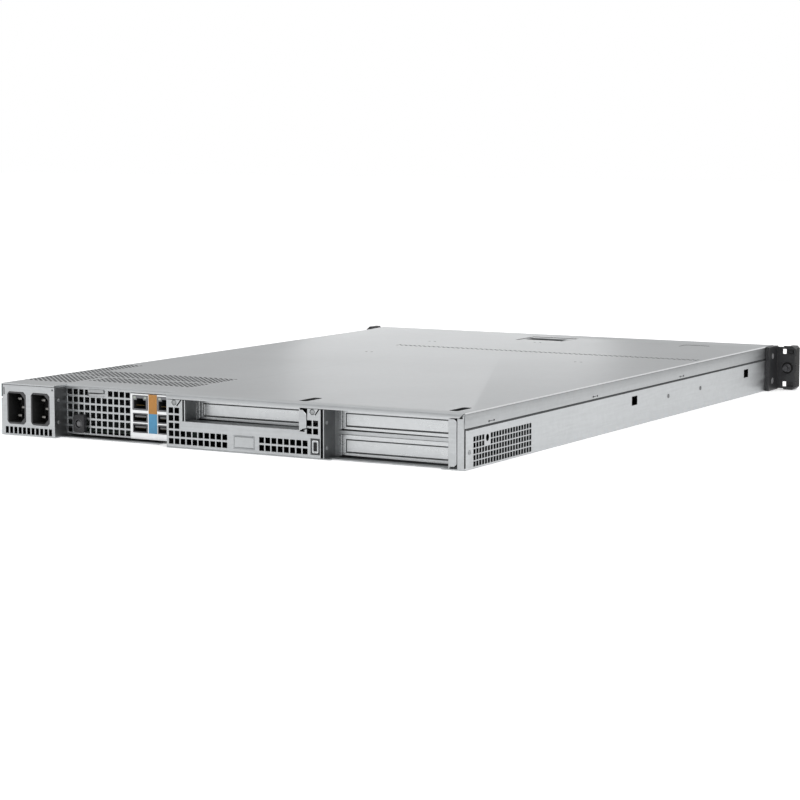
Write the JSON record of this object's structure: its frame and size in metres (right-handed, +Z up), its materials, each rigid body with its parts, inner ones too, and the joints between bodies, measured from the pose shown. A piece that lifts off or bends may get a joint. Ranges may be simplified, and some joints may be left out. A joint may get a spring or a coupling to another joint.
{
  "type": "rack server",
  "caption": "Flat rack-mount server in zinc sheet with perforated rear panels, recessed jacks, expansion slots, slotted rack ears and a lift-off cover.",
  "frame": {"origin": "middle of the whole machine's footprint, on the underside of the chassis floor", "axes": "+Z up, +Y towards the connector face, -Y towards the rack posts and drive bays, +X towards the mains inlets"},
  "size_m": [0.4826, 0.658, 0.0432],
  "materials": {
    "zinc_sheet": "dull zinc-coated sheet with a fine even grain",
    "bright_steel": "brighter plated sheet",
    "rivet_steel": "plated, worn dull",
    "black_steel": "satin powder coat",
    "black_plastic": "matte",
    "grey_plastic": "matte",
    "lever_plastic": "satin",
    "jack_shell": "plated shell",
    "blade_brass": "nickel-plated blades",
    "label_print": "printed film, orange above and blue below",
    "circuit_board": "solder mask",
    "fin_aluminium": "milled",
    "drive_casting": "cast and machined"
  },
  "bodies": {
    "chassis": {"ac_inlets": "black_plastic", "air_baffle": "black_plastic", "backplane": "circuit_board", "chassis_base": "zinc_sheet", "chipset_heatsink": "fin_aluminium", "cpu_heatsink": "fin_aluminium", "drive_cage": "zinc_sheet", "ear_screws": "black_steel", "fan_bracket": "zinc_sheet", "fan_frames": "black_plastic", "front_fascia": "black_steel", "inlet_blades": "blade_brass", "inlet_bracket": "zinc_sheet", "io_label_strip": "label_print", "io_plate": "bright_steel", "mainboard": "circuit_board", "memory_modules": "circuit_board", "power_supply_front": "zinc_sheet", "power_supply_rear": "zinc_sheet", "rack_ear_left": "black_steel", "rack_ear_right": "black_steel", "rear_button_housing": "black_plastic", "rear_rivets": "rivet_steel", "rear_vent_panel": "zinc_sheet", "riser_cage_centre": "zinc_sheet", "riser_cage_right": "zinc_sheet", "riser_card_centre": "circuit_board", "riser_card_right": "circuit_board", "rj45_jacks": "jack_shell", "side_studs": "rivet_steel", "slot_cover_centre": "bright_steel", "slot_cover_right_lower": "bright_steel", "slot_cover_right_upper": "bright_steel", "usb_ports": "jack_shell"},
    "cover": {"top_cover": "zinc_sheet", "latch_housing": "black_plastic"},
    "cover_latch": {"latch_lever": "bright_steel"},
    "rear_button": {"rear_power_button": "grey_plastic"},
    "front_button": {"front_power_button": "grey_plastic"},
    "captive_left": {"captive_screw_left": "rivet_steel"},
    "captive_right": {"captive_screw_right": "rivet_steel"},
    "fan_wheel_1": {"fan_rotor_1": "black_plastic"},
    "fan_wheel_2": {"fan_rotor_2": "black_plastic"},
    "fan_wheel_3": {"fan_rotor_3": "black_plastic"},
    "fan_wheel_4": {"fan_rotor_4": "black_plastic"},
    "fan_wheel_5": {"fan_rotor_5": "black_plastic"},
    "drive_tray_1": {"drive_carrier_1": "black_plastic", "hard_drive_1": "drive_casting"},
    "tray_lever_1": {"carrier_lever_1": "lever_plastic"},
    "drive_tray_2": {"drive_carrier_2": "black_plastic", "hard_drive_2": "drive_casting"},
    "tray_lever_2": {"carrier_lever_2": "lever_plastic"},
    "drive_tray_3": {"drive_carrier_3": "black_plastic", "hard_drive_3": "drive_casting"},
    "tray_lever_3": {"carrier_lever_3": "lever_plastic"},
    "drive_tray_4": {"drive_carrier_4": "black_plastic", "hard_drive_4": "drive_casting"},
    "tray_lever_4": {"carrier_lever_4": "lever_plastic"}
  },
  "joints": [
    {"name": "cover_lift", "type": "slide", "parent": "chassis", "child": "cover", "axis": [0, 0, 1], "range_m": [0, 0.12]},
    {"name": "cover_latch_pivot", "type": "hinge", "parent": "cover", "child": "cover_latch", "pos_m": [0.0025, -0.2775, 0.0396], "axis": [1, 0, 0], "range_deg": [0, 75]},
    {"name": "rear_button_press", "type": "slide", "parent": "chassis", "child": "rear_button", "axis": [0, -1, 0], "range_m": [0, 0.001], "stiffness_N_per_m": 400},
    {"name": "front_button_press", "type": "slide", "parent": "chassis", "child": "front_button", "axis": [0, 1, 0], "range_m": [0, 0.0015], "stiffness_N_per_m": 400},
    {"name": "captive_left_turn", "type": "hinge", "parent": "chassis", "child": "captive_left", "pos_m": [0.23255, -0.311, 0.0216], "axis": [0, -1, 0], "continuous": true},
    {"name": "captive_right_turn", "type": "hinge", "parent": "chassis", "child": "captive_right", "pos_m": [-0.23255, -0.311, 0.0216], "axis": [0, -1, 0], "continuous": true},
    {"name": "fan_1_spin", "type": "hinge", "parent": "chassis", "child": "fan_wheel_1", "pos_m": [-0.183, -0.133, 0.0218], "axis": [0, 1, 0], "continuous": true},
    {"name": "fan_2_spin", "type": "hinge", "parent": "chassis", "child": "fan_wheel_2", "pos_m": [-0.119, -0.133, 0.0218], "axis": [0, 1, 0], "continuous": true},
    {"name": "fan_3_spin", "type": "hinge", "parent": "chassis", "child": "fan_wheel_3", "pos_m": [-0.055, -0.133, 0.0218], "axis": [0, 1, 0], "continuous": true},
    {"name": "fan_4_spin", "type": "hinge", "parent": "chassis", "child": "fan_wheel_4", "pos_m": [0.009, -0.133, 0.0218], "axis": [0, 1, 0], "continuous": true},
    {"name": "fan_5_spin", "type": "hinge", "parent": "chassis", "child": "fan_wheel_5", "pos_m": [0.073, -0.133, 0.0218], "axis": [0, 1, 0], "continuous": true},
    {"name": "tray_1_slide", "type": "slide", "parent": "chassis", "child": "drive_tray_1", "axis": [0, -1, 0], "range_m": [0, 0.155]},
    {"name": "lever_1_pivot", "type": "hinge", "parent": "drive_tray_1", "child": "tray_lever_1", "pos_m": [-0.11185, -0.3198, 0.01635], "axis": [0, 0, 1], "range_deg": [0, 70]},
    {"name": "tray_2_slide", "type": "slide", "parent": "chassis", "child": "drive_tray_2", "axis": [0, -1, 0], "range_m": [0, 0.155]},
    {"name": "lever_2_pivot", "type": "hinge", "parent": "drive_tray_2", "child": "tray_lever_2", "pos_m": [-0.00555, -0.3198, 0.01635], "axis": [0, 0, 1], "range_deg": [0, 70]},
    {"name": "tray_3_slide", "type": "slide", "parent": "chassis", "child": "drive_tray_3", "axis": [0, -1, 0], "range_m": [0, 0.155]},
    {"name": "lever_3_pivot", "type": "hinge", "parent": "drive_tray_3", "child": "tray_lever_3", "pos_m": [0.10075, -0.3198, 0.01635], "axis": [0, 0, 1], "range_deg": [0, 70]},
    {"name": "tray_4_slide", "type": "slide", "parent": "chassis", "child": "drive_tray_4", "axis": [0, -1, 0], "range_m": [0, 0.155]},
    {"name": "lever_4_pivot", "type": "hinge", "parent": "drive_tray_4", "child": "tray_lever_4", "pos_m": [0.20705, -0.3198, 0.01635], "axis": [0, 0, 1], "range_deg": [0, 70]}
  ]
}
